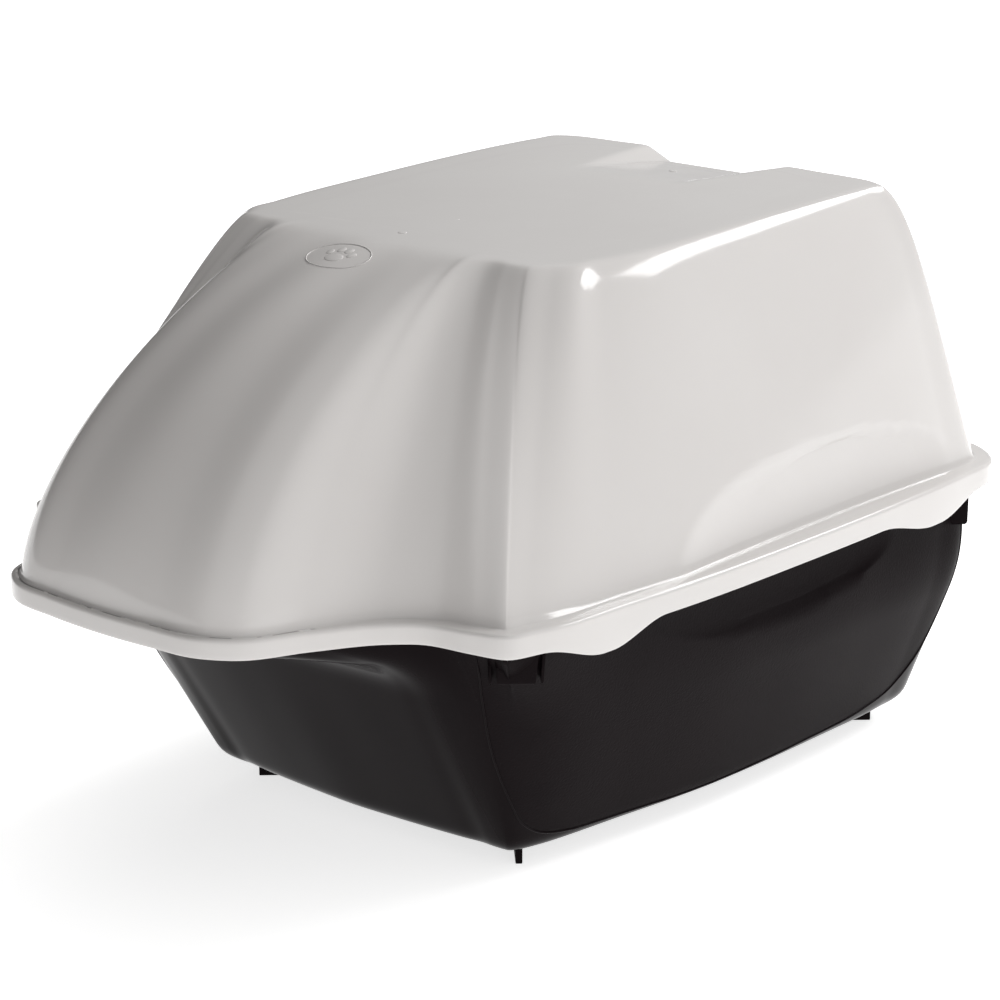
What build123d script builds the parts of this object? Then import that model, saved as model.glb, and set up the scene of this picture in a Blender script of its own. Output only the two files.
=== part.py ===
from build123d import *
import os
from math import cos, sin, pi, hypot, exp, log

# Hooded cat litter box: a tray, a lift-off hood and a swing flap.
# Millimetres, +Z up. Origin: middle of the footprint, on the floor.
# The closed nose points to -Y, the entrance faces +Y, and X = 0 is the plane of symmetry.

# ---- driving dimensions ----
length = 610.0          # over the rim, nose to rear
rim_z = 179.5           # top of the hood's ledge
wall = 3.0              # moulded wall thickness
ledge_width = 11.5      # from the rim's edge in to the hood wall
nose_ledge = 6.0        # the same round the nose
ledge_thick = 3.0
skirt_thick = 2.5
skirt_z = 165.8         # lower edge of the skirt along the sides
nose_skirt_z = 168.0    # lower edge of the skirt round the nose
tab_z = 155.5           # lowest point of the skirt's grip tabs
fit_gap = 0.3           # between the hood's ledge and the tray's flange
side_gap = 0.8          # between the skirt and the edge of the flange
floor_z = 13.0          # underside of the tray's bottom
belt_z = 116.0          # height where the tray's sides begin to flare
ramp_z = 158.0          # height where the flare ends
belt_rise = 24.0        # how much higher the front wall goes before its ramp
ramp_rise = 9.0         # how much higher that ramp ends
roof_front = 350.0      # roof height behind the emblem
roof_rise = 7.8         # rise of the roof towards the rear
channel_slope = 0.09    # fall of the recess in the rear of the roof
channel_rise = 10.0     # height of its sloping sides
channel_start = 120.0   # where it leaves the roof
channel_floor = 38.0    # half width of the recess at its bottom
channel_top = 60.0      # half width at its crests
tray_top = rim_z - ledge_thick - fit_gap
flange_thick = 3.0
door_half = 98.0        # half width of the entrance
door_low = 206.0
door_top = 332.0
porch_y = 228.0         # inner end of the entrance's porch
hinge_y = 234.0
hinge_z = 322.0
pin_r = 2.3
pin_clearance = 0.06
flap_thick = 2.4
flap_gap = 1.5
front_y = -length / 2
rear_y = length / 2

# Half of the rim's outline, from the nose round to the rear.
rim_points = [
    (0, front_y), (40, front_y + 2), (73, front_y + 6.5), (91, front_y + 18),
    (110, -249), (129, -216), (146, -201), (170, -194.5), (190, -186),
    (196, -166), (199.5, -95), (200.5, -45), (197, 60), (190.5, 160),
    (182, 238), (174, 277), (150, 299), (90, rear_y - 0.5), (0, rear_y),
]

# Half of the tray's outline at its bottom and at the belt, column by column as the rim's.
bottom_points = [
    (0, -114), (33, -112.5), (59, -110.5), (79, -108.5), (97, -106), (107, -106), (114, -105.5),
    (118, -104), (121, -98), (124, -84.5), (130, -19.5), (134, 26), (135, 94), (131, 171),
    (126, 235), (121, 262), (106, 277), (62, 283), (0, 284),
]
belt_points = [
    (0, -172.5), (31, -172), (61, -171), (85, -169.5), (105, -167.5), (122.5, -164.5),
    (136, -159.5), (147, -152), (154, -141.5), (161, -126), (171, -63), (175.5, -7), (177, 78),
    (175, 157), (171, 225), (166, 257), (147, 278), (84, 286), (0, 287),
]

# Hood columns: lean of the wall at roof height, how late it leans, and corner exponent.
hood_lean = [
    (0, 0), (-2, 4), (-6, 12), (-12, 31), (-20, 62), (-35, 82), (-51, 81),
    (-65, 82), (-68, 83), (-57, 77), (-48, 38), (-43, 18), (-37, 0), (-31, -14),
    (-27, -34), (-22, -56), (-14, -70), (-6, -74), (0, -74),
]
hood_ease = [
    1, 1, 1.15, 1.35, 1.15, 1.1, 1.3, 1.15, 1, 0.9, 1, 1, 1, 1, 1, 1, 1, 1, 1,
]
hood_power = [
    1.76, 1.68, 1.7, 1.75, 2.1, 3.0, 3.7, 4.2, 4.8, 5, 5, 5, 5, 5, 6, 7, 8, 9, 9,
]

# Where each column levels out on the roof, and where it then meets the middle line.
hood_crest = [
    (0, -62), (22, -62), (42, -62), (56, -64), (66, -66), (72, -66), (80, -62),
    (92, -66), (102, -64), (106, -48), (108, -25), (110, 0), (112, 60), (110, 130),
    (104, 170), (98, 188), (80, 196), (45, 198), (0, 198),
]
hood_spine = [
    -20, -20, -20, -20, -19, -18, -16, -12, -5, 10, 30, 50, 80, 115, 145, 160, 168, 172, 174,
]


def knots(points):
    """Chord-length position of each point."""
    total = [0.0]
    for a, b in zip(points, points[1:]):
        total.append(total[-1] + max(1.0, hypot(b[0] - a[0], b[1] - a[1])))
    return total


def hermite(values, at, u):
    """Monotone cubic through values, one for each knot in at."""
    k = max(i for i in range(len(at) - 1) if at[i] <= u or i == 0)
    slope = [(b - a) / (q - p) for a, b, p, q in zip(values, values[1:], at, at[1:])]

    def tangent(i):
        if i == 0:
            return slope[0]
        if i == len(slope):
            return slope[-1]
        left = at[i] - at[i - 1]
        right = at[i + 1] - at[i]
        return (slope[i - 1] * right + slope[i] * left) / (left + right)

    step = at[k + 1] - at[k]
    s = (u - at[k]) / step
    m0 = tangent(k) * step
    m1 = tangent(k + 1) * step
    a = values[k] * (1 + 2 * s) * (1 - s) ** 2
    b = values[k + 1] * s * s * (3 - 2 * s)
    return a + b + m0 * s * (1 - s) ** 2 - m1 * s * s * (1 - s)


def mirrored(points):
    """The half outline with one more point beyond each end, for level tangents."""
    first = (-points[1][0], points[1][1])
    last = (-points[-2][0], points[-2][1])
    return [first] + points + [last]


rim_at = knots(mirrored(rim_points))
columns = 48
column_u = [rim_at[1] + (rim_at[-2] - rim_at[1]) * i / columns for i in range(columns + 1)]


def half_outline(points):
    """The half outline, sampled once for each column."""
    full = mirrored(points)
    xs = [p[0] for p in full]
    ys = [p[1] for p in full]
    line = [(hermite(xs, rim_at, u), hermite(ys, rim_at, u)) for u in column_u]
    line[0] = (0.0, line[0][1])
    line[-1] = (0.0, line[-1][1])
    return line


def inset(line, distance):
    """Move a half outline inwards along its normals, by one distance or one for each column."""
    if isinstance(distance, (int, float)):
        distance = [distance] * len(line)
    moved = []
    for i, (x, y) in enumerate(line):
        before = line[i - 1] if i > 0 else (-line[1][0], line[1][1])
        after = line[i + 1] if i < len(line) - 1 else (-line[-2][0], line[-2][1])
        dx = after[0] - before[0]
        dy = after[1] - before[1]
        size = hypot(dx, dy)
        moved.append((x - distance[i] * dy / size, y + distance[i] * dx / size))
    moved[0] = (0.0, moved[0][1])
    moved[-1] = (0.0, moved[-1][1])
    return moved


def blended(values):
    """A column parameter, sampled once for each column."""
    full = [values[1]] + values + [values[-2]]
    return [hermite(full, rim_at, u) for u in column_u]


def flat_face(line, z):
    """A flat face inside a whole outline, at height z."""
    loop = line[:-1] + [(-x, y) for x, y in reversed(line[1:])]
    return make_face(Edge.make_spline([(x, y, z) for x, y in loop], periodic=True))


def plate(line, bottom, top):
    """A flat plate inside a whole outline, between two heights."""
    return extrude(flat_face(line, bottom), top - bottom, dir=(0, 0, 1))


def skin_face(grid):
    """A smooth face through half of a skin's points, column by column."""
    at = [0.0]
    for j in range(1, len(grid[0])):
        steps = [(Vector(*column[j]) - Vector(*column[j - 1])).length for column in grid]
        at.append(at[-1] + sum(steps) / len(steps))
    at = [a / at[-1] for a in at]
    lines = [Wire(Edge.make_spline([Vector(*p) for p in column], parameters=at)) for column in grid]
    return Shell.make_loft(lines).faces()[0]


def closed_solid(grid, levels):
    """The solid inside a symmetric skin, closed with a flat face at each level."""
    right = skin_face(grid)
    left = right.mirror(Plane.YZ)
    faces = [right, left]
    for z in levels:
        rim = [e for f in (right, left) for e in f.edges() if abs(e.center().Z - z) < 0.01]
        faces.append(Face(Wire(rim)))
    return Solid(Shell(faces))


def smooth(a, b, x):
    s = min(1.0, max(0.0, (x - a) / (b - a)))
    return s * s * (3 - 2 * s)


def roof(x, y):
    """Height of the roof, before the recess at its rear."""
    return roof_front + roof_rise * smooth(-80, 200, y) - 1.8 * (x / 150) ** 2


def ledge_at(y):
    return nose_ledge + (ledge_width - nose_ledge) * smooth(-270, -200, y)


def levelled(v):
    """A column's share of the roof height, eased off where it meets the roof."""
    soft = 0.006
    return -soft * log(exp(-1.02 * v / soft) + exp(-1 / soft))


def hood_skin(thickness):
    """Half of the hood's skin, from the ledge up and over to the middle line."""
    ledge = [ledge_at(y) + thickness for x, y in half_outline(rim_points)]
    foot = inset(half_outline(rim_points), ledge)
    lean = list(zip(blended([p[0] for p in hood_lean]), blended([p[1] for p in hood_lean])))
    crest = list(zip(blended([p[0] for p in hood_crest]), blended([p[1] for p in hood_crest])))
    shape = zip(foot, lean, crest, blended(hood_ease), blended(hood_power), blended(hood_spine))
    rows = 15
    grid = []
    for (x0, y0), (lx, ly), (qx, qy), ease, p, s in shape:
        column = []
        for j in range(rows + 1):
            angle = pi / 2 * j / rows
            c = cos(angle)
            v = sin(angle)
            size = (c**p + v**p) ** (1 / p)
            w = c / size if j < rows else 0.0
            v = v / size
            shift = v**ease
            x = qx + w * (x0 + lx * shift - qx)
            y = qy + w * (y0 + ly * shift - qy)
            column.append((x, y, rim_z + levelled(v) * (roof(x, y) - thickness - rim_z)))
        for share in (0.25, 0.5, 0.75, 1):
            x = qx * (1 - share)
            y = qy + (s - qy) * share
            column.append((x, y, roof(x, y) - thickness))
        grid.append(column)
    for column in (grid[0], grid[-1]):
        for j, (x, y, z) in enumerate(column):
            column[j] = (0.0, y, z)
    return grid


def rounded(corners, setbacks, steps):
    """Points along a polyline whose inner corners are rounded with smooth bends."""
    points = []
    last = corners[0]
    for i in range(1, len(corners) - 1):
        c = corners[i]
        before = c + (corners[i - 1] - c).normalized() * setbacks[i - 1]
        after = c + (corners[i + 1] - c).normalized() * setbacks[i - 1]
        for k in range(steps):
            points.append(last + (before - last) * (k / steps))
        for k in range(steps):
            s = k / steps
            points.append(before * (1 - s) ** 2 + c * (2 * s * (1 - s)) + after * s**2)
        last = after
    for k in range(steps + 1):
        points.append(last + (corners[-1] - last) * (k / steps))
    return points


def tray_skin(thickness, top):
    """Half of the tray's skin, from its bottom up to the given height."""
    base = inset(half_outline(bottom_points), thickness)
    y_mid = (base[0][1] + base[-1][1]) / 2
    foot = [(x * 0.9, y_mid + (y - y_mid) * 0.94) for x, y in base]
    belt = inset(half_outline(belt_points), thickness)
    rim = inset(half_outline(rim_points), ledge_width + 3 + thickness)
    brow = inset(rim, 2.5)
    low = floor_z + thickness
    grid = []
    for f, b, m, r, t in zip(foot, base, belt, brow, rim):
        front = 1 - smooth(-165, -125, m[1])
        start = Vector(b[0], b[1], low)
        bend = Vector(m[0], m[1], belt_z + thickness)
        corners = [
            Vector(f[0], f[1], low),
            start,
            bend + (bend - start) * (front * belt_rise / (belt_z - floor_z)),
            Vector(r[0], r[1], ramp_z + front * ramp_rise + thickness),
            Vector(t[0], t[1], top),
        ]
        column = [(p.X, p.Y, p.Z) for p in rounded(corners, (13, 20, 7), 3)]
        grid.append(column)
    for column in (grid[0], grid[-1]):
        for j, (x, y, z) in enumerate(column):
            column[j] = (0.0, y, z)
    return grid


def skirt_edge(y):
    """Height of the skirt's lower edge, with a grip tab at each end of the side."""
    edge = skirt_z + (nose_skirt_z - skirt_z) * (1 - smooth(-205, -185, y))
    front_tab = smooth(-165, -118, y) * (1 - smooth(-112, -68, y))
    rear_tab = smooth(140, 200, y) * (1 - smooth(208, 262, y))
    return edge - (skirt_z - tab_z) * (front_tab + rear_tab)


def dish(side, centre, half, lean, turn):
    """A shallow ellipsoid that cuts a long crescent into a side wall."""
    form = scale(Sphere(1), by=half)
    form = form.rotate(Axis.Y, lean).rotate(Axis.Z, turn)
    placed = Pos(*centre) * form
    return placed if side > 0 else placed.mirror(Plane.YZ)


def corner_places():
    """Each corner's signs across X and along Y."""
    return [(sx, sy) for sx in (-1, 1) for sy in (-1, 1)]


def door_prism(grow, y_from, y_to):
    """The entrance's outline, extruded along Y."""
    outline = RectangleRounded(2 * (door_half + grow), door_top - door_low + 2 * grow, 8 + grow)
    face = Plane(origin=(0, y_to, (door_low + door_top) / 2), x_dir=(1, 0, 0), z_dir=(0, -1, 0)) * outline
    return extrude(face, y_to - y_from)


def channel(drop):
    """The block that cuts the sloping recess into the rear of the roof."""
    floor = roof(0, channel_start) - drop
    right = [(channel_floor, floor), (channel_top, floor + channel_rise), (channel_top + 40, floor + 40)]
    corners = right + [(-x, z) for x, z in reversed(right)]
    points = [(x, channel_start, z) for x, z in corners]
    face = make_face(Polyline(*points, close=True))
    return extrude(face, 200, dir=(0, 1, -channel_slope))


os.makedirs("parts", exist_ok=True)
rim = half_outline(rim_points)

# ---- hood: dome, ledge, skirt and porch in one moulding ----
dome = closed_solid(hood_skin(0), [rim_z])
hollow = closed_solid(hood_skin(wall), [rim_z])
for side in (-1, 1):
    dome -= dish(side, (186, 88, 176), (8, 175, 50), -13, 4)
    hollow -= dish(side, (186, 88, 176), (11, 178, 53), -13, 4)
dome -= channel(0)
hollow -= channel(wall)
ledge = plate(rim, rim_z - ledge_thick, rim_z)
ledge -= extrude(hollow.faces().sort_by(Axis.Z)[0], ledge_thick + 1, dir=(0, 0, -1))
skirt = plate(rim, tab_z, rim_z) - plate(inset(rim, skirt_thick), tab_z - 1, rim_z + 1)
edge = [(-210, y, skirt_edge(y)) for y in [front_y - 5 + 10 * i for i in range(63)]]
below = [edge[-1], (-210, edge[-1][1], 100), (-210, edge[0][1], 100), edge[0]]
trim = extrude(make_face([Edge.make_spline(edge), Polyline(*below)]), 420, dir=(1, 0, 0))
skirt -= trim
porch = door_prism(wall, porch_y, rear_y) & dome
hood = (dome - hollow) + ledge + skirt + porch
hood -= door_prism(0, porch_y - 5, rear_y + 5)
hole = Pos(0, hinge_y, hinge_z) * Rot(0, 90, 0) * Cylinder(pin_r + pin_clearance, 2 * (door_half + wall) + 2)
hood -= hole
print("hood", hood.is_valid, len(hood.solids()), hood.volume)
export_step(hood, "parts/hood.step")

# ---- tray: pan, flange, stacking lugs and feet in one moulding ----
pan = closed_solid(tray_skin(0, tray_top), [floor_z, tray_top])
pit = closed_solid(tray_skin(wall, tray_top + 2), [floor_z + wall, tray_top + 2])
for side in (-1, 1):
    pan -= dish(side, (192, 35, 170), (11, 178, 44), 10, 3)
    pit -= dish(side, (192, 35, 170), (14, 181, 47), 10, 3)
flange = plate(inset(rim, skirt_thick + side_gap), tray_top - flange_thick, tray_top)
tray = pan + flange
for sx, sy in corner_places():
    turn = 45 * sx * sy
    lug_y = -154 if sy < 0 else 258
    lug_x = 166 if sy < 0 else 156
    lug = Polygon((-10.4, 142), (10.4, 142), (13.4, 174), (-13.4, 174), align=None)
    lug = extrude(Plane.XZ * lug, 10, both=True)
    tray += Pos(sx * lug_x, lug_y, 0) * Rot(0, 0, turn) * lug
    foot_y = -76 if sy < 0 else 238
    foot = Pos(sx * 97, foot_y, 12) * Rot(0, 0, turn) * Box(30, 4, 24)
    tray += foot
tray -= pit
print("tray", tray.is_valid, len(tray.solids()), tray.volume)
export_step(tray, "parts/tray.step")

# ---- flap: plate, barrel and two pins in one moulding ----
half = door_half - flap_gap
low = door_low + 3
leaf_plane = Plane(origin=(0, hinge_y + flap_thick / 2, 0), x_dir=(1, 0, 0), z_dir=(0, -1, 0))
leaf = leaf_plane * Pos(0, (low + hinge_z) / 2) * RectangleRounded(2 * half, hinge_z - low, 3)
flap = extrude(leaf, flap_thick)
flap += Pos(0, hinge_y, hinge_z) * Rot(0, 90, 0) * Cylinder(4.5, 2 * half)
flap += Pos(0, hinge_y, hinge_z) * Rot(0, 90, 0) * Cylinder(pin_r, 2 * (door_half + wall - 0.3))
print("flap", flap.is_valid, len(flap.solids()), flap.volume)
export_step(flap, "parts/flap.step")
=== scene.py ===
import math

import bmesh
import bpy
import numpy as np
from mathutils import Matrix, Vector
from mathutils.bvhtree import BVHTree


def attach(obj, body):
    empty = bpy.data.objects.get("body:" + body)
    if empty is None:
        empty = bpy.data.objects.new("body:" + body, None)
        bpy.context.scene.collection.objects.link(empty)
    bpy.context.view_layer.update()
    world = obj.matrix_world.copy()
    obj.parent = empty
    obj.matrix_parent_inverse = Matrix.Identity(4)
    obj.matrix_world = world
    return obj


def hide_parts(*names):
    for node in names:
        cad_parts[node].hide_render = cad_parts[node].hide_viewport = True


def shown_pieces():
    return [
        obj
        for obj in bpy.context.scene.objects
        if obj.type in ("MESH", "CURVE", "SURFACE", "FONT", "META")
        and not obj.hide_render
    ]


# Looks for the hooded litter box. Outlines are in millimetres, meshes in metres.
# +Z is up, the nose points to -Y, the entrance faces +Y, and X = 0 is the plane of symmetry.
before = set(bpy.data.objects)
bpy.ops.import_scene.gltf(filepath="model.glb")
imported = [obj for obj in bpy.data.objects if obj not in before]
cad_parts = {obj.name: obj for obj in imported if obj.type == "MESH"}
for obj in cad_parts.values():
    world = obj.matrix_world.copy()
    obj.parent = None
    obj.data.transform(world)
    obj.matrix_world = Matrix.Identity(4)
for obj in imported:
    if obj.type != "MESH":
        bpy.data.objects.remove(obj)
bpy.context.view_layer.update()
MM = 0.001

# ---- driving dimensions, the same as the CAD model's ----
WALL = 3.0
LENGTH = 610.0
FRONT = -LENGTH / 2
REAR = LENGTH / 2
RIM_Z = 179.5
LEDGE = 11.5
NOSE_LEDGE = 6.0
LEDGE_THICK = 3.0
SKIRT = 2.5
SKIRT_Z = 165.8
NOSE_SKIRT_Z = 168.0
TAB_Z = 155.5
SIDE_GAP = 0.8
TRAY_TOP = 176.2
FLOOR_Z = 13.0
BELT_Z = 116.0
RAMP_Z = 158.0
BELT_RISE = 24.0
RAMP_RISE = 9.0
ROOF = 350.0
ROOF_RISE = 7.8
CHANNEL_START = 120.0
CHANNEL_SLOPE = 0.09
CHANNEL_FLOOR = 38.0
CHANNEL_TOP = 60.0
CHANNEL_RISE = 10.0
DOOR_HALF = 98.0
DOOR_LOW = 206.0
DOOR_TOP = 332.0
PORCH_Y = 228.0
HINGE = (234.0, 322.0)

# Half of each outline, from the nose round to the rear, column by column
RIM = [
    (0, FRONT), (40, FRONT + 2), (73, FRONT + 6.5), (91, FRONT + 18),
    (110, -249), (129, -216), (146, -201), (170, -194.5), (190, -186),
    (196, -166), (199.5, -95), (200.5, -45), (197, 60), (190.5, 160),
    (182, 238), (174, 277), (150, 299), (90, REAR - 0.5), (0, REAR),
]
BOTTOM = [
    (0, -114), (33, -112.5), (59, -110.5), (79, -108.5), (97, -106), (107, -106),
    (114, -105.5), (118, -104), (121, -98), (124, -84.5), (130, -19.5), (134, 26), (135, 94),
    (131, 171), (126, 235), (121, 262), (106, 277), (62, 283), (0, 284),
]
BELT = [
    (0, -172.5), (31, -172), (61, -171), (85, -169.5), (105, -167.5), (122.5, -164.5),
    (136, -159.5), (147, -152), (154, -141.5), (161, -126), (171, -63), (175.5, -7), (177, 78),
    (175, 157), (171, 225), (166, 257), (147, 278), (84, 286), (0, 287),
]
# Hood columns: lean of the wall at roof height, how late it leans, corner exponent,
# where it levels out on the roof, and where it then meets the middle line
LEAN = [
    (0, 0), (-2, 4), (-6, 12), (-12, 31), (-20, 62), (-35, 82), (-51, 81),
    (-65, 82), (-68, 83), (-57, 77), (-48, 38), (-43, 18), (-37, 0), (-31, -14),
    (-27, -34), (-22, -56), (-14, -70), (-6, -74), (0, -74),
]
EASE = [1, 1, 1.15, 1.35, 1.15, 1.1, 1.3, 1.15, 1, 0.9, 1, 1, 1, 1, 1, 1, 1, 1, 1]
POWER = [1.76, 1.68, 1.7, 1.75, 2.1, 3.0, 3.7, 4.2, 4.8, 5, 5, 5, 5, 5, 6, 7, 8, 9, 9]
CREST = [
    (0, -62), (22, -62), (42, -62), (56, -64), (66, -66), (72, -66), (80, -62),
    (92, -66), (102, -64), (106, -48), (108, -25), (110, 0), (112, 60), (110, 130),
    (104, 170), (98, 188), (80, 196), (45, 198), (0, 198),
]
SPINE = [-20, -20, -20, -20, -19, -18, -16, -12, -5, 10, 30, 50, 80, 115, 145, 160, 168, 172, 174]
COLUMNS = 300


# ---- curves and surfaces ----
def smooth(a, b, x):
    """0 below a, 1 above b, and a smooth step between them."""
    s = np.clip((np.asarray(x, float) - a) / (b - a), 0, 1)
    return s * s * (3 - 2 * s)


def hermite(values, at, u):
    """A smooth cubic through values at the knots, read at every u."""
    values = np.asarray(values, float)
    slope = np.diff(values) / np.diff(at)
    gap = np.diff(at)
    tangent = np.empty(len(values))
    tangent[0], tangent[-1] = slope[0], slope[-1]
    tangent[1:-1] = (slope[:-1] * gap[1:] + slope[1:] * gap[:-1]) / (gap[:-1] + gap[1:])
    k = np.clip(np.searchsorted(at, u, side="right") - 1, 0, len(gap) - 1)
    s = (u - at[k]) / gap[k]
    ends = values[k] * (1 + 2 * s) * (1 - s) ** 2 + values[k + 1] * s * s * (3 - 2 * s)
    return ends + gap[k] * (tangent[k] * s * (1 - s) ** 2 - tangent[k + 1] * s * s * (1 - s))


def with_ends(points):
    """Half an outline with one more point mirrored beyond each end."""
    first = (-points[1][0], points[1][1])
    last = (-points[-2][0], points[-2][1])
    return np.array([first] + list(points) + [last], float)


rim_all = with_ends(RIM)
AT = np.concatenate([[0], np.cumsum(np.hypot(*np.diff(rim_all, axis=0).T))])
U = np.linspace(AT[1], AT[-2], COLUMNS + 1)


def outline(points):
    """Half an outline, one point for each column."""
    full = with_ends(points)
    line = np.stack([hermite(full[:, 0], AT, U), hermite(full[:, 1], AT, U)], 1)
    line[[0, -1], 0] = 0
    return line


def evened(values, odd=False, spread=10.0):
    """Column values with their small kinks averaged away; odd ones change sign across X = 0."""
    total = 0
    weight = 0
    sign = -1 if odd else 1
    for mirror, factor in ((None, 1), (U[0], sign), (U[-1], sign)):
        at = U if mirror is None else 2 * mirror - U
        kernel = np.exp(-((U[:, None] - at[None, :]) ** 2) / (2 * spread**2))
        if mirror is not None:
            kernel[:, 0 if mirror == U[0] else -1] = 0
        total = total + kernel @ (values * factor)
        weight = weight + kernel.sum(axis=1)
    return total / weight


def column_value(values, odd=False):
    """A column parameter, one value for each column."""
    sign = -1 if odd else 1
    return evened(hermite([sign * values[1]] + list(values) + [sign * values[-2]], AT, U), odd)


def normals(line):
    """Outward normals of a half outline."""
    before = np.vstack([line[1] * (-1, 1), line[:-1]])
    after = np.vstack([line[1:], line[-2] * (-1, 1)])
    run = after - before
    run /= np.linalg.norm(run, axis=1)[:, None]
    return np.stack([run[:, 1], -run[:, 0]], 1)


def inset(line, distance):
    """Half an outline moved inwards, by one distance or one for each column."""
    moved = line - normals(line) * np.asarray(distance).reshape(-1, 1)
    moved[[0, -1], 0] = 0
    return moved


def row(line, z):
    """A row of points at height z, which may differ from column to column."""
    return np.column_stack([line, np.broadcast_to(z, len(line))])


def roof(x, y):
    """The roof with the sloping recess at its rear."""
    top = ROOF + ROOF_RISE * smooth(-80, 200, y) - 1.8 * (x / 150) ** 2
    floor = ROOF + ROOF_RISE - CHANNEL_SLOPE * (y - CHANNEL_START)
    side = np.maximum(0, np.abs(x) - CHANNEL_FLOOR) * CHANNEL_RISE / (CHANNEL_TOP - CHANNEL_FLOOR)
    recess = np.where(y > CHANNEL_START - 60, floor + side, 999.0)
    soft = 0.5
    return -soft * np.logaddexp(-top / soft, -recess / soft)


def scooped(points, centre, half, lean, turn):
    """How far points on a right-hand wall sink, along X, into an ellipsoid's hollow."""
    lean, turn = math.radians(lean), math.radians(turn)
    dx, dy, dz = (np.asarray(points, float) - centre).T
    ax = dx * math.cos(turn) + dy * math.sin(turn)
    qy = dy * math.cos(turn) - dx * math.sin(turn)
    qx = ax * math.cos(lean) - dz * math.sin(lean)
    qz = ax * math.sin(lean) + dz * math.cos(lean)
    e = (qy / half[1]) ** 2 + (qz / half[2]) ** 2
    surface = np.where(e < 1, -half[0] * np.sqrt(np.clip(1 - e, 0, 1)), 30 * (e - 1))
    soft = 0.3
    return soft * np.logaddexp(0, np.clip((qx - surface) / soft, -40, 200))


HOOD_DISH = ((186, 88, 176), (8, 175, 50), -13, 4)
TRAY_DISH = ((188, 35, 170), (11, 178, 44), 10, 3)


rim = outline(RIM)
ledge_width = NOSE_LEDGE + (LEDGE - NOSE_LEDGE) * smooth(-270, -200, rim[:, 1])


def levelled(v):
    """A column's share of the roof height, eased off where it meets the roof."""
    soft = 0.006
    return -soft * np.logaddexp(-1.02 * v / soft, -1 / soft)


def dome(thickness, rows, start):
    """Rows of the hood's wall and roof, from the ledge over to the middle line."""
    foot = inset(rim, ledge_width + thickness)
    lean, crest = np.array(LEAN, float), np.array(CREST, float)
    lx, ly = column_value(lean[:, 0], True), column_value(lean[:, 1])
    qx, qy = column_value(crest[:, 0], True), column_value(crest[:, 1])
    ease, power, spine = column_value(EASE), column_value(POWER), column_value(SPINE)
    qx[[0, -1]] = 0
    out = []
    for angle in np.linspace(start, math.pi / 2, rows):
        c, v = math.cos(angle), math.sin(angle)
        size = (c**power + v**power) ** (1 / power)
        w = c / size if angle < math.pi / 2 - 1e-6 else 0 * size
        v = v / size
        shift = v**ease
        x = qx + w * (foot[:, 0] + lx * shift - qx)
        y = qy + w * (foot[:, 1] + ly * shift - qy)
        x[[0, -1]] = 0
        points = np.column_stack([x, y, RIM_Z + levelled(v) * (roof(x, y) - thickness - RIM_Z)])
        points[:, 0] -= scooped(points, *HOOD_DISH) * (x > 60)
        out.append(points)
    steps = max(6, rows // 3)
    for share in np.arange(1, steps + 1) / steps:
        x, y = qx * (1 - share), qy + (spine - qy) * share
        out.append(np.column_stack([x, y, roof(x, y) - thickness]))
    return out


def full_ring(half):
    """A closed ring from a half row."""
    left = half[1:-1][::-1] * (-1, 1, 1)
    return np.vstack([half, left])


def mesh_object(name, points, faces):
    """A smooth-shaded mesh, from points in millimetres, with its outside facing out."""
    mesh = bpy.data.meshes.new(name)
    mesh.from_pydata([tuple(p) for p in np.asarray(points) * MM], [], faces)
    bm = bmesh.new()
    bm.from_mesh(mesh)
    bmesh.ops.remove_doubles(bm, verts=bm.verts, dist=1e-6)
    bmesh.ops.recalc_face_normals(bm, faces=bm.faces)
    bm.to_mesh(mesh)
    bm.free()
    mesh.polygons.foreach_set("use_smooth", [True] * len(mesh.polygons))
    obj = bpy.data.objects.new(name, mesh)
    bpy.context.scene.collection.objects.link(obj)
    return obj


def lofted(name, rings, closed=True, caps=False):
    """A mesh through rings that all have the same number of points."""
    n = len(rings[0])
    points = np.vstack(rings)
    faces = []
    for r in range(len(rings) - 1):
        for i in range(n if closed else n - 1):
            j = (i + 1) % n
            faces.append((r * n + i, r * n + j, (r + 1) * n + j, (r + 1) * n + i))
    if caps:
        last = (len(rings) - 1) * n
        faces += [tuple(range(n)), tuple(range(last, last + n))]
    return mesh_object(name, points, faces)


# ---- hood ----
def skirt_edge(y):
    """Height of the skirt's lower edge, with a grip tab at each end of the side."""
    edge = SKIRT_Z + (NOSE_SKIRT_Z - SKIRT_Z) * (1 - smooth(-205, -185, y))
    front_tab = smooth(-165, -118, y) * (1 - smooth(-112, -68, y))
    rear_tab = smooth(140, 200, y) * (1 - smooth(208, 262, y))
    return edge - (SKIRT_Z - TAB_Z) * (front_tab + rear_tab)


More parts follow.
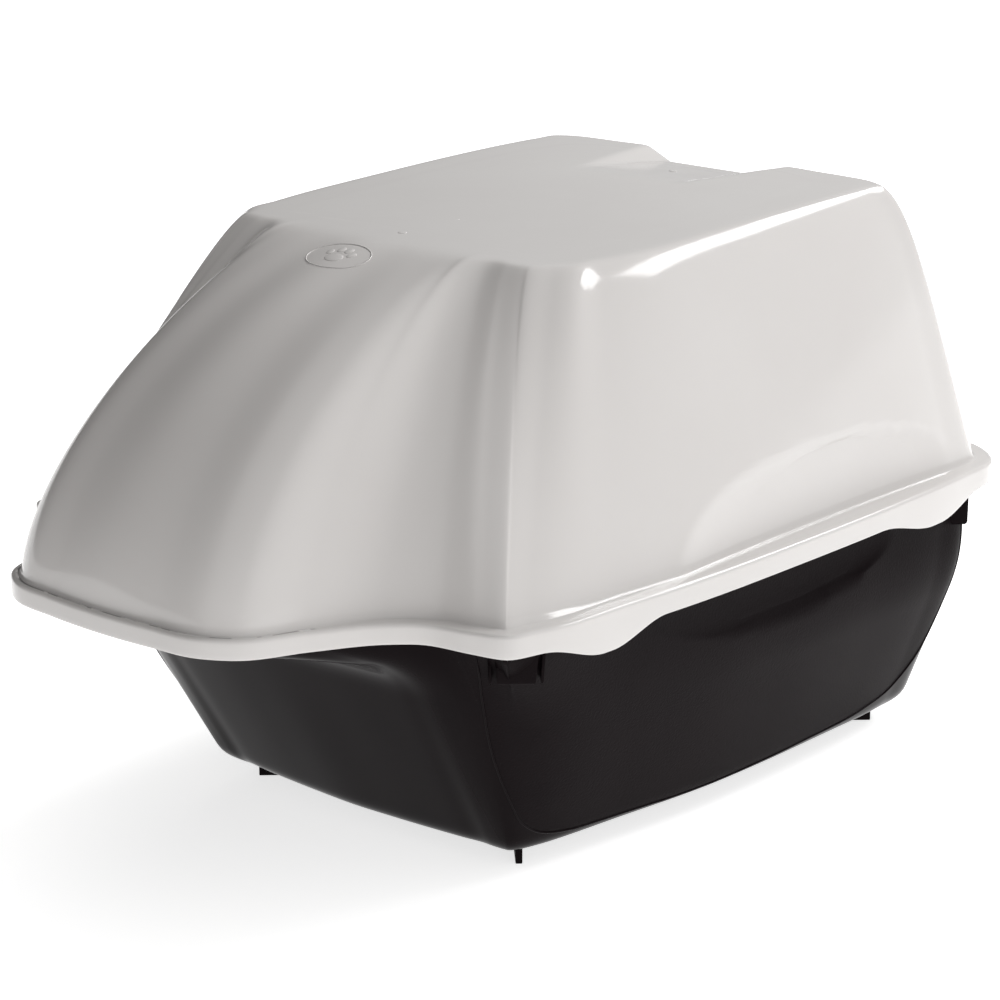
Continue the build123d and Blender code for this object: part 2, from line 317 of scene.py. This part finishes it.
def hood_rows():
    """Rings over the hood's outside, round its ledge and skirt, and back over its inside."""
    low = skirt_edge(rim[:, 1])
    foot = row(inset(rim, ledge_width), RIM_Z)
    sink = scooped(foot, *HOOD_DISH) * (foot[:, 0] > 60)
    rows = dome(0, 86, 0.012)[::-1]
    # the fillet at the dome's foot
    for back, up in ((0.15, 1.3), (0.6, 0.5), (1.2, 0.12), (2.2, 0.0)):
        rows.append(row(inset(rim, ledge_width - back + sink), RIM_Z + up))
    # the ledge and its rounded edge
    for back, down in ((5.0, 0), (2.4, 0), (1.3, 0.2), (0.55, 0.65), (0.12, 1.4), (0, 2.6)):
        rows.append(row(inset(rim, back), RIM_Z - down))
    # the skirt, its rounded lower edge, and its inside up to the ledge
    for share in (0.7, 0.35):
        rows.append(row(rim, low + 1.5 + (RIM_Z - 2.6 - low - 1.5) * share))
    for back, up in ((0, 1.5), (0.2, 0.6), (0.8, 0.05), (1.7, 0.05), (2.3, 0.6), (SKIRT, 1.5)):
        rows.append(row(inset(rim, back), low + up))
    for back, z in ((SKIRT, RIM_Z - 4.5), (SKIRT + 1.5, RIM_Z - LEDGE_THICK)):
        rows.append(row(inset(rim, back), z))
    rows.append(row(inset(rim, ledge_width + WALL + sink), RIM_Z - LEDGE_THICK))
    rows += dome(WALL, 36, 0.006)
    return [full_ring(r) for r in rows]


hood = lofted("hood_shell", hood_rows())


def rounded_rectangle(half_x, low, high, radius, steps=10):
    """Outline of a rounded rectangle in the XZ plane."""
    corners = [(half_x, high, 0), (-half_x, high, 1), (-half_x, low, 2), (half_x, low, 3)]
    points = []
    for x, z, quarter in corners:
        cx = x - math.copysign(radius, x)
        cz = z - radius if z == high else z + radius
        for k in range(steps + 1):
            a = math.pi / 2 * (quarter + k / steps)
            points.append((cx + radius * math.cos(a), cz + radius * math.sin(a)))
    dense = []
    for (x0, z0), (x1, z1) in zip(points, points[1:] + points[:1]):
        parts = max(1, int(math.hypot(x1 - x0, z1 - z0) / 8))
        dense += [(x0 + (x1 - x0) * k / parts, z0 + (z1 - z0) * k / parts) for k in range(parts)]
    return dense


def door_outline(grow):
    """The entrance's outline, made larger all round."""
    return rounded_rectangle(DOOR_HALF + grow, DOOR_LOW - grow, DOOR_TOP + grow, 8 + grow)


def apply_modifiers(obj):
    """Keep the result of an object's modifiers as its mesh."""
    graph = bpy.context.evaluated_depsgraph_get()
    mesh = bpy.data.meshes.new_from_object(obj.evaluated_get(graph))
    obj.modifiers.clear()
    obj.data = mesh


def surface_tree(obj):
    """A search tree of an object's faces, to find places on its surface."""
    points = [v.co.copy() for v in obj.data.vertices]
    return BVHTree.FromPolygons(points, [tuple(p.vertices) for p in obj.data.polygons])


hood_tree = surface_tree(hood)


def rear_wall(x, z):
    """The rear wall's outer Y at a place in the XZ plane, in millimetres."""
    hit = hood_tree.ray_cast(Vector((x * MM, 0.5, z * MM)), Vector((0, -1, 0)))[0]
    return hit.y / MM


def door_ring(grow, y):
    """A ring round the entrance, at y, or at y(x, z)."""
    return np.array([(x, y(x, z) if callable(y) else y, z) for x, z in door_outline(grow)])


reach = [rear_wall(x, z) for x, z in door_outline(4.5)]


def on_wall(grow, proud):
    """A ring round the entrance that follows the rear wall, raised from it."""
    ring = door_ring(grow, 0)
    ring[:, 1] = np.array(reach) + proud
    return ring


cutter = lofted("cutter", [door_ring(1.5, 200), door_ring(1.5, 320)], caps=True)
cut = hood.modifiers.new("entrance", "BOOLEAN")
cut.operation = "DIFFERENCE"
cut.solver = "EXACT"
cut.object = cutter
apply_modifiers(hood)
bpy.data.objects.remove(cutter)

porch = lofted(
    "hood_porch",
    [
        on_wall(1.5, -3.4), on_wall(4.5, -3.2), on_wall(4.5, 0.4), on_wall(4.1, 1.1), on_wall(3.4, 1.4),
        on_wall(1.4, 1.4), on_wall(0.5, 1.0), on_wall(0.0, 0.0), on_wall(0.0, -2.0),
        door_ring(0, PORCH_Y + 1), door_ring(0.4, PORCH_Y), door_ring(WALL - 0.4, PORCH_Y),
        door_ring(WALL, PORCH_Y + 1), on_wall(WALL, -4.2), on_wall(1.5, -3.4),
    ],
)

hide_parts("hood")
for piece in (hood, porch):
    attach(piece, "hood")


# ---- tray ----
def bent(corners, setbacks, runs, steps):
    """Rows along a polyline of columns whose inner corners are rounded."""
    rows = []
    last = corners[0]
    for i in range(1, len(corners) - 1):
        c = corners[i]
        back = corners[i - 1] - c
        ahead = corners[i + 1] - c
        before = c + back / np.linalg.norm(back, axis=1)[:, None] * setbacks[i - 1]
        after = c + ahead / np.linalg.norm(ahead, axis=1)[:, None] * setbacks[i - 1]
        rows += [last + (before - last) * k / runs[i - 1] for k in range(runs[i - 1])]
        for k in range(steps):
            t = k / steps
            rows.append(before * (1 - t) ** 2 + c * (2 * t * (1 - t)) + after * t**2)
        last = after
    rows += [last + (corners[-1] - last) * k / runs[-1] for k in range(runs[-1] + 1)]
    return rows


def tray_wall(thickness, top, fine):
    """Rows of the tray's skin, from its bottom up."""
    base = inset(outline(BOTTOM), thickness)
    y_mid = (base[0, 1] + base[-1, 1]) / 2
    foot = np.column_stack([base[:, 0] * 0.9, y_mid + (base[:, 1] - y_mid) * 0.94])
    belt = inset(outline(BELT), thickness)
    top_line = inset(rim, ledge_width + 3 + thickness)
    brow = inset(top_line, 2.5)
    low = FLOOR_Z + thickness
    front = 1 - smooth(-165, -125, belt[:, 1])
    start, bend = row(base, low), row(belt, BELT_Z + thickness)
    corners = [
        row(foot, low), start, bend + (bend - start) * (front * BELT_RISE / (BELT_Z - FLOOR_Z))[:, None],
        row(brow, RAMP_Z + front * RAMP_RISE + thickness), row(top_line, top),
    ]
    rows = bent(corners, (13, 20, 7), (2, 26, 22, 8) if fine else (2, 8, 8, 3), 8 if fine else 5)
    for points in rows:
        points[:, 0] -= scooped(points, *TRAY_DISH) * (points[:, 0] > 60)
        points[[0, -1], 0] = 0
    return rows


def tray_rows():
    """Rings over the tray's underside, up its outside, round its flange and down its inside."""
    low = TRAY_TOP - 3
    outside = tray_wall(0, low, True)
    middle = np.array((0, 84))
    rows = [row(outside[0][:, :2] * share + middle * (1 - share), FLOOR_Z) for share in (0, 0.35, 0.7, 0.9)]
    rows += outside
    flange = inset(rim, SKIRT + SIDE_GAP)
    for back, z in ((6, low), (0.8, low), (0.2, low + 0.2), (0, low + 0.8), (0, TRAY_TOP - 0.8)):
        rows.append(row(inset(flange, back), z))
    for back, z in ((0.2, TRAY_TOP - 0.2), (0.8, TRAY_TOP), (5, TRAY_TOP)):
        rows.append(row(inset(flange, back), z))
    inside = tray_wall(WALL, TRAY_TOP - 0.9, False)[::-1]
    lip = inside[0]
    rows.append(row(inset(lip[:, :2], -1.6), TRAY_TOP))
    rows.append(row(inset(lip[:, :2], -0.5), TRAY_TOP - 0.2))
    rows += inside
    for share in (0.9, 0.7, 0.35, 0.0):
        rows.append(row(inside[-1][:, :2] * share + middle * (1 - share), FLOOR_Z + WALL))
    return [full_ring(r) for r in rows]


tray = lofted("tray_pan", tray_rows())
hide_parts("tray")
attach(tray, "tray")


def bevelled(obj, width, segments=3):
    """Round an object's sharp edges, by a width in millimetres."""
    bevel = obj.modifiers.new("edges", "BEVEL")
    bevel.width = width * MM
    bevel.segments = segments
    bevel.limit_method = "ANGLE"
    return obj


def prism(name, outline_xy, low, high):
    """An upright prism between two heights."""
    return lofted(name, [row(outline_xy, low), row(outline_xy, high)], caps=True)


def turned(outline_xy, x, y, degrees):
    """An outline turned about its origin and then moved to (x, y)."""
    a = math.radians(degrees)
    return [
        (x + u * math.cos(a) - v * math.sin(a), y + u * math.sin(a) + v * math.cos(a))
        for u, v in outline_xy
    ]


tray_tree = surface_tree(tray)


def embedded(x, y, z, degrees):
    """The place in plan, just inside the tray's outer surface, on the line inwards through a point."""
    a = math.radians(degrees)
    inwards = Vector((math.sin(a), -math.cos(a), 0))
    hit = tray_tree.ray_cast(Vector((x, y, z)) * MM - inwards * 0.06, inwards)[0]
    spot = hit / MM + inwards * WALL / 2 if hit else Vector((x, y, z))
    return (spot.x, spot.y)


FOOT_X = 97
FOOT_Y = {"front": -76, "rear": 238}
FOOT_HALF = (15, 2)
LUG_PLACE = {"front": (166, -154), "rear": (156, 258)}
LUG_LOW = 142.0
# name, place along the wall, half width at the top and at the bottom, lean and reach
LUG_PARTS = (
    ("lug", 0, 13.4, 10.4, 0.0, 10.0),
    ("rib_a", -15.8, 0.9, 0.8, 1.9, 9.4),
    ("rib_b", 15.8, 0.9, 0.8, -1.9, 9.4),
)


def tray_foot(sx, side, sy, end):
    """A thin fin set across a corner of the tray's bottom."""
    u, v = FOOT_HALF
    place = turned([(u, v), (-u, v), (-u, -v), (u, -v)], FOOT_X * sx, FOOT_Y[end], 45 * sx * sy)
    return bevelled(prism("tray_foot_%s_%s" % (end, side), place, 0.0, FLOOR_Z + 1.0), 0.6)


def tray_lug(sx, side, sy, end, part):
    """A stacking lug, or a rib beside it, that faces out of a corner and narrows downwards."""
    name, u, top_half, low_half, lean, reach = part
    heading = -45 * sx if sy > 0 else -135 * sx
    x, y = LUG_PLACE[end]
    rings = []
    for half, shift, v, z in (
        (low_half - 1.2, lean, reach - 1.6, LUG_LOW),
        (low_half - 0.3, lean, reach - 0.5, LUG_LOW + 0.7),
        (low_half, lean, reach, LUG_LOW + 2.0),
        (top_half, 0, reach, TRAY_TOP - 1.5),
    ):
        right, left = u + shift + half, u + shift - half
        ring = turned([(right, v), (left, v), (left, -10), (right, -10)], x * sx, y, heading)
        below_flange = min(z, TRAY_TOP - 4)
        ring[2:] = [embedded(back_x, back_y, below_flange, heading) for back_x, back_y in ring[2:]]
        rings.append(row(ring, z))
    return bevelled(lofted("tray_%s_%s_%s" % (name, end, side), rings, caps=True), 0.8)


for sx, side in ((-1, "left"), (1, "right")):
    for sy, end in ((-1, "front"), (1, "rear")):
        corner = [tray_foot(sx, side, sy, end)]
        corner += [tray_lug(sx, side, sy, end, part) for part in LUG_PARTS]
        for piece in corner:
            grained = piece.data.attributes.new("grain", "FLOAT", "POINT")
            grained.data.foreach_set("value", [1.0] * len(piece.data.vertices))
            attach(piece, "tray")

# ---- the fine ridge that frames each side panel of the tray, and the grain inside it ----
RIDGE = [
    (159, -180, 160), (154.5, -171.5, 144), (148, -161, 126), (141.5, -150, 105), (137.5, -141.5, 89),
    (134, -131, 71), (131, -119, 52), (127.5, -107, 37), (127.5, -94, 28), (128.5, -73, 23),
    (130.5, -45, 21), (133.5, 6, 20), (136, 56, 20), (136, 137, 21), (134, 205, 25),
    (135, 235, 34), (140, 250, 52), (150, 257, 78), (160, 261, 105), (165, 263, 130), (166, 265, 158),
]
RIDGE_FRONT, RIDGE_REAR = 8, 15


def hermite_path(points, steps):
    """A smooth path through points, read at evenly spaced steps."""
    at = np.concatenate([[0], np.cumsum(np.linalg.norm(np.diff(points, axis=0), axis=1))])
    padded = np.vstack([2 * points[0] - points[1], points, 2 * points[-1] - points[-2]])
    knots = np.concatenate([[-at[1]], at, [2 * at[-1] - at[-2]]])
    u = np.linspace(0, at[-1], steps)
    return np.column_stack([hermite(padded[:, k], knots, u) for k in range(3)])


def ridge_rings(side, radius=0.75, sides=8, steps=240, fade=6):
    """Rings of a thin bead that lies on the tray's surface along the ridge and thins at its ends."""
    spots, ups = [], []
    for p in hermite_path(np.array(RIDGE, float), steps) * (side, 1, 1):
        hit, normal = tray_tree.find_nearest(Vector(p) * MM)[:2]
        out = Vector((side, 0, 0)) if abs(normal.x) > 0.2 else Vector((0, -1, 0))
        spots.append(np.array(hit) / MM)
        ups.append(np.array(normal if normal.dot(out) > 0 else -normal))
    turns = np.linspace(0, 2 * math.pi, sides, endpoint=False)
    rings = []
    for k, (spot, up, run) in enumerate(zip(spots, ups, np.gradient(np.array(spots), axis=0))):
        across = np.cross(run, up)
        across /= np.linalg.norm(across) + 1e-9
        size = radius * (0.25 + 0.75 * min(1.0, k / fade, (steps - 1 - k) / fade))
        rings.append(np.array([spot + size * (math.cos(t) * across + math.sin(t) * up) for t in turns]))
    return rings


def grain_share(points):
    """1 on the side panels, inside the ridge, and 0 on the smooth front and rear."""
    x, y, z = points.T
    along = np.array(RIDGE, float)
    front_y = np.interp(z, along[RIDGE_FRONT::-1, 2], along[RIDGE_FRONT::-1, 1])
    rear_y = np.interp(z, along[RIDGE_REAR:, 2], along[RIDGE_REAR:, 1])
    low_z = np.interp(y, along[RIDGE_FRONT:RIDGE_REAR + 1, 1], along[RIDGE_FRONT:RIDGE_REAR + 1, 2])
    inside = smooth(-1.5, 1.5, y - front_y) * smooth(-1.5, 1.5, rear_y - y)
    return inside * smooth(-1.5, 1.5, z - low_z) * (np.abs(x) > 100)


for side, word in ((-1, "left"), (1, "right")):
    bead = lofted("tray_ridge_" + word, ridge_rings(side), caps=True)
    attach(bead, "tray")

grain = tray.data.attributes.new("grain", "FLOAT", "POINT")
pan_points = np.array([v.co for v in tray.data.vertices]) / MM
grain.data.foreach_set("value", grain_share(pan_points).astype(np.float32))

# ---- flap ----
HALF = DOOR_HALF - 1.5
LOW = DOOR_LOW + 3
FLAP_Y, FLAP_T = HINGE[0], 1.2


def leaf_ring(shrink, y):
    """A ring round the flap's leaf, made smaller all round."""
    points = rounded_rectangle(HALF - shrink, LOW + shrink, HINGE[1], max(0.5, 3 - shrink * 0.3), 6)
    return np.array([(x, y, z) for x, z in points])


flap = lofted(
    "flap_leaf",
    [
        leaf_ring(9, FLAP_Y - FLAP_T), leaf_ring(8, FLAP_Y - FLAP_T - 0.1),
        leaf_ring(7.2, FLAP_Y - FLAP_T - 0.7), leaf_ring(1.2, FLAP_Y - FLAP_T - 0.7),
        leaf_ring(0.3, FLAP_Y - FLAP_T - 0.3), leaf_ring(0, FLAP_Y - FLAP_T + 0.4),
        leaf_ring(0, FLAP_Y + FLAP_T - 0.4), leaf_ring(0.3, FLAP_Y + FLAP_T + 0.3),
        leaf_ring(1.2, FLAP_Y + FLAP_T + 0.7), leaf_ring(7.2, FLAP_Y + FLAP_T + 0.7),
        leaf_ring(8, FLAP_Y + FLAP_T + 0.1), leaf_ring(9, FLAP_Y + FLAP_T),
    ],
    caps=True,
)


def barrel_rings(profile):
    """Rings round the hinge line, from (x, radius) pairs."""
    rings = []
    for x, radius in profile:
        ring = []
        for k in range(32):
            a = 2 * math.pi * k / 32
            ring.append((x, HINGE[0] + radius * math.cos(a), HINGE[1] + radius * math.sin(a)))
        rings.append(np.array(ring))
    return rings


END = DOOR_HALF + WALL - 0.3
half_profile = [(END, 1.7), (END - 0.6, 2.3), (HALF + 0.1, 2.3), (HALF, 2.6), (HALF, 4.0), (HALF - 0.5, 4.5)]
barrel = lofted(
    "flap_barrel",
    barrel_rings(half_profile + [(-x, r) for x, r in reversed(half_profile)]),
    caps=True,
)
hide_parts("flap")
for piece in (flap, barrel):
    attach(piece, "flap")


# ---- emblem and gate marks on the hood ----
def on_roof(x, y):
    """The hood's outer surface above a place in plan, in millimetres."""
    hit, normal = hood_tree.ray_cast(Vector((x * MM, y * MM, 0.5)), Vector((0, 0, -1)))[:2]
    return hit / MM, normal if normal.z > 0 else -normal


def patch_frame(x, y):
    """A place on the roof, with the roof's own directions there."""
    centre, normal = on_roof(x, y)
    across = Vector((1, 0, 0))
    along = normal.cross(across).normalized()
    return centre, across, along, normal


def laid(place, outline_uv, up):
    """A ring laid on the hood from an outline in the roof's own plane, raised by a height."""
    centre, across, along, normal = place
    ring = []
    for u, v in outline_uv:
        above = centre + across * u + along * v + normal * 20
        hit = hood_tree.ray_cast(above * MM, -normal)[0] / MM
        ring.append(tuple(hit + normal * up))
    return np.array(ring)


def relief(name, place, outline_uv, height, shoulder, dome_rise=0.0):
    """A raised shape with a rounded shoulder that follows the hood."""
    outline_uv = np.array(outline_uv, float)
    middle = outline_uv.mean(axis=0)
    size = np.linalg.norm(outline_uv - middle, axis=1).mean()
    rings = []
    for share, up in (
        (1, -0.5), (1, height * 0.3),
        (1 - shoulder * 0.4 / size, height * 0.8), (1 - shoulder / size, height),
        (0.6, height + dome_rise * 0.7), (0.25, height + dome_rise),
    ):
        rings.append(laid(place, middle + (outline_uv - middle) * share, up))
    return lofted(name, rings, caps=True)


def oval(u, v, half_u, half_v, steps, tilt=0.0):
    """An oval's outline, tilted by an angle in radians."""
    angles = [2 * math.pi * k / steps for k in range(steps)]
    points = [(half_u * math.cos(a), half_v * math.sin(a)) for a in angles]
    return turned(points, u, v, math.degrees(tilt))


def oval_line(name, place, half_u, half_v, width, height):
    """A thin raised oval line that follows the hood."""
    rings = []
    for grow, up in ((0, -0.4), (0.15, height), (width - 0.15, height), (width, -0.4)):
        rings.append(laid(place, oval(0, 0, half_u - grow, half_v - grow, 96), up))
    return lofted(name, rings + rings[:1])


BADGE_Y = -119
GATE_Y = (-67.6, 173.0)
# a paw's main pad and four toes: u, v, half sizes and tilt
PADS = (
    (0, -3.6, 6.2, 4.6, 0), (-8.2, 2.2, 2.3, 3.2, 0.35), (-3.0, 6.2, 2.4, 3.3, 0.1),
    (3.0, 6.2, 2.4, 3.3, -0.1), (8.2, 2.2, 2.3, 3.2, -0.35),
)
badge = patch_frame(0, BADGE_Y)
marks = [oval_line("hood_badge_ring", badge, 22, 15.5, 0.9, 0.35)]
for k, (u, v, half_u, half_v, tilt) in enumerate(PADS):
    pad = oval(u, v, half_u, half_v, 32, tilt)
    marks.append(relief("hood_badge_pad_%d" % k, badge, pad, 0.3, 0.5, 0.15))
for k, y in enumerate(GATE_Y):
    spot = oval(0, 0, 2.6, 2.6, 24)
    marks.append(relief("hood_gate_mark_%d" % k, patch_frame(0, y), spot, 0.3, 0.6))
for mark in marks:
    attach(mark, "hood")


# ---- materials ----
def plastic(name, color, roughness, **inputs):
    """A moulded plastic; returns the material, its nodes, links and shader."""
    material = bpy.data.materials.new(name)
    material.use_nodes = True
    nodes, links = material.node_tree.nodes, material.node_tree.links
    shader = nodes["Principled BSDF"]
    shader.inputs["Base Color"].default_value = (*color, 1)
    shader.inputs["Roughness"].default_value = roughness
    for key, value in inputs.items():
        shader.inputs[key.replace("_", " ")].default_value = value
    return material, nodes, links, shader


def noise(nodes, links, scale, detail=2.0):
    """Noise in the object's own coordinates."""
    place = nodes.new("ShaderNodeTexCoord")
    node = nodes.new("ShaderNodeTexNoise")
    node.inputs["Scale"].default_value = scale
    node.inputs["Detail"].default_value = detail
    links.new(place.outputs["Object"], node.inputs["Vector"])
    return node


def varied(nodes, links, socket, source, low, high, at=(0.3, 0.7)):
    """Drive a socket between two colours, by a source such as noise."""
    node = nodes.new("ShaderNodeValToRGB")
    for element, position, color in zip(node.color_ramp.elements, at, (low, high)):
        element.position = position
        element.color = (*color, 1)
    links.new(source, node.inputs["Fac"])
    links.new(node.outputs["Color"], socket)


def bumped(nodes, links, shader, height, strength, distance):
    bump = nodes.new("ShaderNodeBump")
    bump.inputs["Strength"].default_value = strength
    bump.inputs["Distance"].default_value = distance
    links.new(height, bump.inputs["Height"])
    links.new(bump.outputs["Normal"], shader.inputs["Normal"])


def hood_material():
    """Light warm grey, polished, with a faint haze."""
    material, nodes, links, shader = plastic("hood_gloss", (0.575, 0.557, 0.545), 0.12, IOR=1.5)
    tone, haze = noise(nodes, links, 9), noise(nodes, links, 38, 4)
    low, high = (0.567, 0.547, 0.535), (0.583, 0.565, 0.553)
    varied(nodes, links, shader.inputs["Base Color"], tone.outputs["Fac"], low, high)
    varied(nodes, links, shader.inputs["Roughness"], haze.outputs["Fac"], (0.09,) * 3, (0.14,) * 3)
    bumped(nodes, links, shader, noise(nodes, links, 60, 2).outputs["Fac"], 0.05, 0.0005)
    return material


def tray_material():
    """Near black: smooth, or rough with a fine grain where the grain attribute says so."""
    material, nodes, links, shader = plastic(
        "tray_grain", (0.006, 0.004, 0.0046), 0.4, IOR=1.5, Specular_IOR_Level=0.03
    )
    low, high = (0.0054, 0.0036, 0.0042), (0.0068, 0.0046, 0.0052)
    varied(nodes, links, shader.inputs["Base Color"], noise(nodes, links, 14).outputs["Fac"], low, high)
    mask = nodes.new("ShaderNodeAttribute")
    mask.attribute_name = "grain"
    smooth_to_rough = (0.16,) * 3, (0.5,) * 3
    varied(nodes, links, shader.inputs["Roughness"], mask.outputs["Fac"], *smooth_to_rough, at=(0.2, 0.8))
    height = nodes.new("ShaderNodeMath")
    height.operation = "MULTIPLY"
    links.new(noise(nodes, links, 750, 2).outputs["Fac"], height.inputs[0])
    links.new(mask.outputs["Fac"], height.inputs[1])
    bumped(nodes, links, shader, height.outputs["Value"], 0.5, 0.0004)
    return material


def flap_material():
    """Smoked and see-through."""
    material, nodes, links, shader = plastic("flap_smoke", (0.30, 0.29, 0.28), 0.12, IOR=1.49)
    shader.inputs["Transmission Weight"].default_value = 0.75
    haze = noise(nodes, links, 30, 3)
    varied(nodes, links, shader.inputs["Roughness"], haze.outputs["Fac"], (0.1,) * 3, (0.18,) * 3)
    return material


# a piece takes the finish that its name starts with
finishes = {"hood": hood_material(), "tray": tray_material(), "flap": flap_material()}
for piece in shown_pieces():
    finish = finishes.get(piece.name.split("_")[0])
    if finish:
        piece.data.materials.clear()
        piece.data.materials.append(finish)

# ---- sky: bright all round but at the left and front left ----
BRIGHT_SIDE = (0.886, 0.43, -0.10)
world = bpy.data.worlds.new("studio")
bpy.context.scene.world = world
world.use_nodes = True
sky_nodes, sky_links = world.node_tree.nodes, world.node_tree.links
background = sky_nodes["Background"]


def ranged(source, from_range, to_range, kind="LINEAR"):
    """A value carried from one range to another."""
    node = sky_nodes.new("ShaderNodeMapRange")
    node.interpolation_type = kind
    node.inputs["From Min"].default_value, node.inputs["From Max"].default_value = from_range
    node.inputs["To Min"].default_value, node.inputs["To Max"].default_value = to_range
    sky_links.new(source, node.inputs["Value"])
    return node.outputs["Result"]


def combined(operation, first, second):
    """Two values joined by a sum, a product or the like."""
    node = sky_nodes.new("ShaderNodeMath")
    node.operation = operation
    sky_links.new(first, node.inputs[0])
    sky_links.new(second, node.inputs[1])
    return node.outputs["Value"]


direction = sky_nodes.new("ShaderNodeTexCoord").outputs["Generated"]
facing = sky_nodes.new("ShaderNodeVectorMath")
facing.operation = "DOT_PRODUCT"
facing.inputs[1].default_value = BRIGHT_SIDE
height = sky_nodes.new("ShaderNodeSeparateXYZ")
sky_links.new(direction, facing.inputs[0])
sky_links.new(direction, height.inputs["Vector"])
shade = ranged(facing.outputs["Value"], (-0.56, -0.22), (0.0, 0.7), "SMOOTHSTEP")
fade = ranged(height.outputs["Z"], (0.0, 0.5), (0.7, 1.0))
seen = sky_nodes.new("ShaderNodeLightPath").outputs["Is Camera Ray"]
strength = combined("MAXIMUM", combined("MULTIPLY", shade, fade), seen)
sky_links.new(strength, background.inputs["Strength"])
background.inputs["Color"].default_value = (1, 0.995, 0.99, 1)
bpy.context.scene.view_settings.view_transform = "Standard"

# ---- floor ----
FLOOR_HALF = 15
floor_mesh = bpy.data.meshes.new("floor")
floor_corners = [(x * FLOOR_HALF, y * FLOOR_HALF, 0) for x, y in ((-1, -1), (1, -1), (1, 1), (-1, 1))]
floor_mesh.from_pydata(floor_corners, [], [(0, 1, 2, 3)])
floor = bpy.data.objects.new("floor", floor_mesh)
bpy.context.scene.collection.objects.link(floor)
pale, nodes, links, shader = plastic("floor_pale", (0.93, 0.93, 0.93), 0.7)
cloud = noise(nodes, links, 1.5).outputs["Fac"]
varied(nodes, links, shader.inputs["Base Color"], cloud, (0.92,) * 3, (0.94,) * 3)
shader.inputs["Emission Color"].default_value = (1, 1, 1, 1)
shader.inputs["Emission Strength"].default_value = 0.72
floor_mesh.materials.append(pale)

# ---- lights and camera ----
LIT_POINT = Vector((0, 0, 0.25))


def aimed(obj, away):
    """Turn a light or a camera to look back along the way out to it."""
    obj.rotation_euler = (-away).to_track_quat("-Z", "Y").to_euler()
    bpy.context.scene.collection.objects.link(obj)


def softbox(name, place, size, power, mirrored=True):
    """A rectangular lamp aimed at the object; mirrored says whether gloss reflects it."""
    light = bpy.data.lights.new(name, "AREA")
    light.shape = "RECTANGLE"
    light.size, light.size_y = size
    light.energy = power
    lamp = bpy.data.objects.new(name, light)
    lamp.location = place
    lamp.visible_glossy = mirrored
    aimed(lamp, Vector(place) - LIT_POINT)


softbox("top", (-0.2, 1.3, 2.2), (1.2, 1.2), 17, mirrored=False)
softbox("fill", (2.0, -0.75, 0.45), (1.0, 1.0), 5, mirrored=False)
softbox("back", (0.6, 1.7, 1.7), (2.0, 0.5), 26)

CAMERA_AIM = Vector((0.10687, -0.10188, 0.21962))
CAMERA_DISTANCE = 1.86319
azimuth, elevation = math.radians(42.5525), math.radians(15.8761)
camera_data = bpy.data.cameras.new("camera")
camera_data.lens = 121.654
camera_data.sensor_width = 36
camera_data.clip_end = 50
camera = bpy.data.objects.new("camera", camera_data)
away = Vector((
    math.cos(elevation) * math.sin(azimuth), -math.cos(elevation) * math.cos(azimuth), math.sin(elevation),
))
camera.location = CAMERA_AIM + away * CAMERA_DISTANCE
aimed(camera, away)
bpy.context.scene.camera = camera
